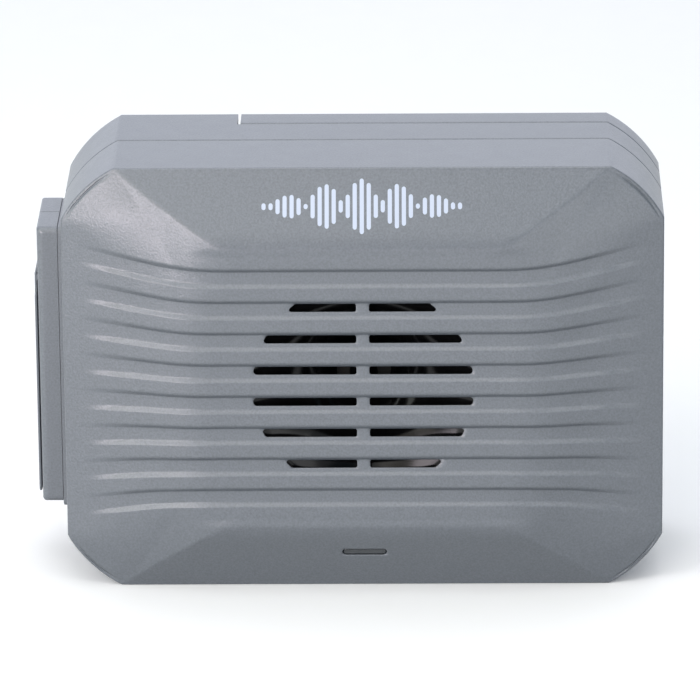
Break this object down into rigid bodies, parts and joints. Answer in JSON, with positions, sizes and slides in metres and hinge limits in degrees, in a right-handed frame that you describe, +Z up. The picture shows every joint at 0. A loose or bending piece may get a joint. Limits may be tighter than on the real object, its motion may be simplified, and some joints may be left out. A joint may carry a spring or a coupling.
{
  "type": "ultrasonic pest repeller",
  "caption": "Free-standing or wall-hung box with a louvred, crowned front over an ultrasonic horn, a battery bay behind, and a side box of controls under a hinged flap.",
  "frame": {"origin": "centre of the bounding box, on the plane it stands on", "axes": "+Z up, the louvred front faces -Y, the control box is on the -X side"},
  "size_m": [0.158, 0.0574, 0.11],
  "materials": {
    "grey_plastic": "satin grey ABS with a fine spark-eroded grain",
    "black_plastic": "glossy black moulding",
    "dark_rubber": "soft black seal",
    "smoked_lens": "smoked clear plastic",
    "board": "green solder mask",
    "steel": "zinc-plated steel",
    "brass": "plain brass",
    "cell_jacket": null,
    "red_wire": "PVC insulation",
    "black_wire": "PVC insulation",
    "white_plastic": "off-white moulding",
    "paper_cone": "coated film"
  },
  "bodies": {
    "case": {"front_cover": "grey_plastic", "rear_housing": "grey_plastic", "control_plate": "grey_plastic", "control_box_front": "grey_plastic", "control_box_rear": "grey_plastic", "speaker_horn": "black_plastic", "phase_plug": "black_plastic", "horn_back_cap": "black_plastic", "transformer": "black_plastic", "controller_chip": "black_plastic", "driver_transistor": "black_plastic", "battery_tray": "black_plastic", "selector_switch": "black_plastic", "power_switch": "black_plastic", "test_switch": "black_plastic", "power_jack": "black_plastic", "horn_gasket": "dark_rubber", "light_guide": "smoked_lens", "main_board": "board", "control_board": "board", "case_screw_1": "steel", "case_screw_2": "steel", "case_screw_3": "steel", "case_screw_4": "steel", "horn_screw_1": "steel", "horn_screw_2": "steel", "board_screw_1": "steel", "board_screw_2": "steel", "contact_plate_1": "steel", "contact_plate_2": "steel", "contact_plate_3": "steel", "contact_plate_4": "steel", "contact_spring_1": "steel", "contact_spring_2": "steel", "contact_spring_3": "steel", "contact_spring_4": "steel", "hinge_pin": "steel", "piezo_disc": "brass", "power_jack_pin": "brass", "cell_1": "cell_jacket", "cell_2": "cell_jacket", "cell_3": "cell_jacket", "cell_4": "cell_jacket", "capacitor_1": "cell_jacket", "capacitor_2": "cell_jacket", "speaker_lead_red": "red_wire", "battery_lead_red": "red_wire", "speaker_lead_black": "black_wire", "battery_lead_black": "black_wire", "control_lead": "black_wire", "status_led": "white_plastic", "diaphragm": "paper_cone"},
    "battery_cover": {"battery_cover": "grey_plastic", "cover_screw_1": "steel", "cover_screw_2": "steel"},
    "control_flap": {"control_flap": "grey_plastic"},
    "selector_knob": {"selector_knob": "black_plastic"},
    "power_slider": {"power_slider": "white_plastic"},
    "test_button": {"test_button": "white_plastic"}
  },
  "joints": [
    {"name": "battery_cover_lift", "type": "slide", "parent": "case", "child": "battery_cover", "axis": [0, 1, 0], "range_m": [0, 0.06]},
    {"name": "flap_hinge", "type": "hinge", "parent": "case", "child": "control_flap", "pos_m": [-0.0759, 0.0045, 0.0774], "axis": [0, 1, 0], "range_deg": [0, 105]},
    {"name": "selector_turn", "type": "hinge", "parent": "case", "child": "selector_knob", "pos_m": [-0.0725, 0.0035, 0.062], "axis": [1, 0, 0], "range_deg": [-135, 135]},
    {"name": "power_slide", "type": "slide", "parent": "case", "child": "power_slider", "axis": [0, 0, 1], "range_m": [0, 0.004]},
    {"name": "test_press", "type": "slide", "parent": "case", "child": "test_button", "axis": [1, 0, 0], "range_m": [0, 0.0007], "stiffness_N_per_m": 600, "springref_m": -0.0005}
  ]
}
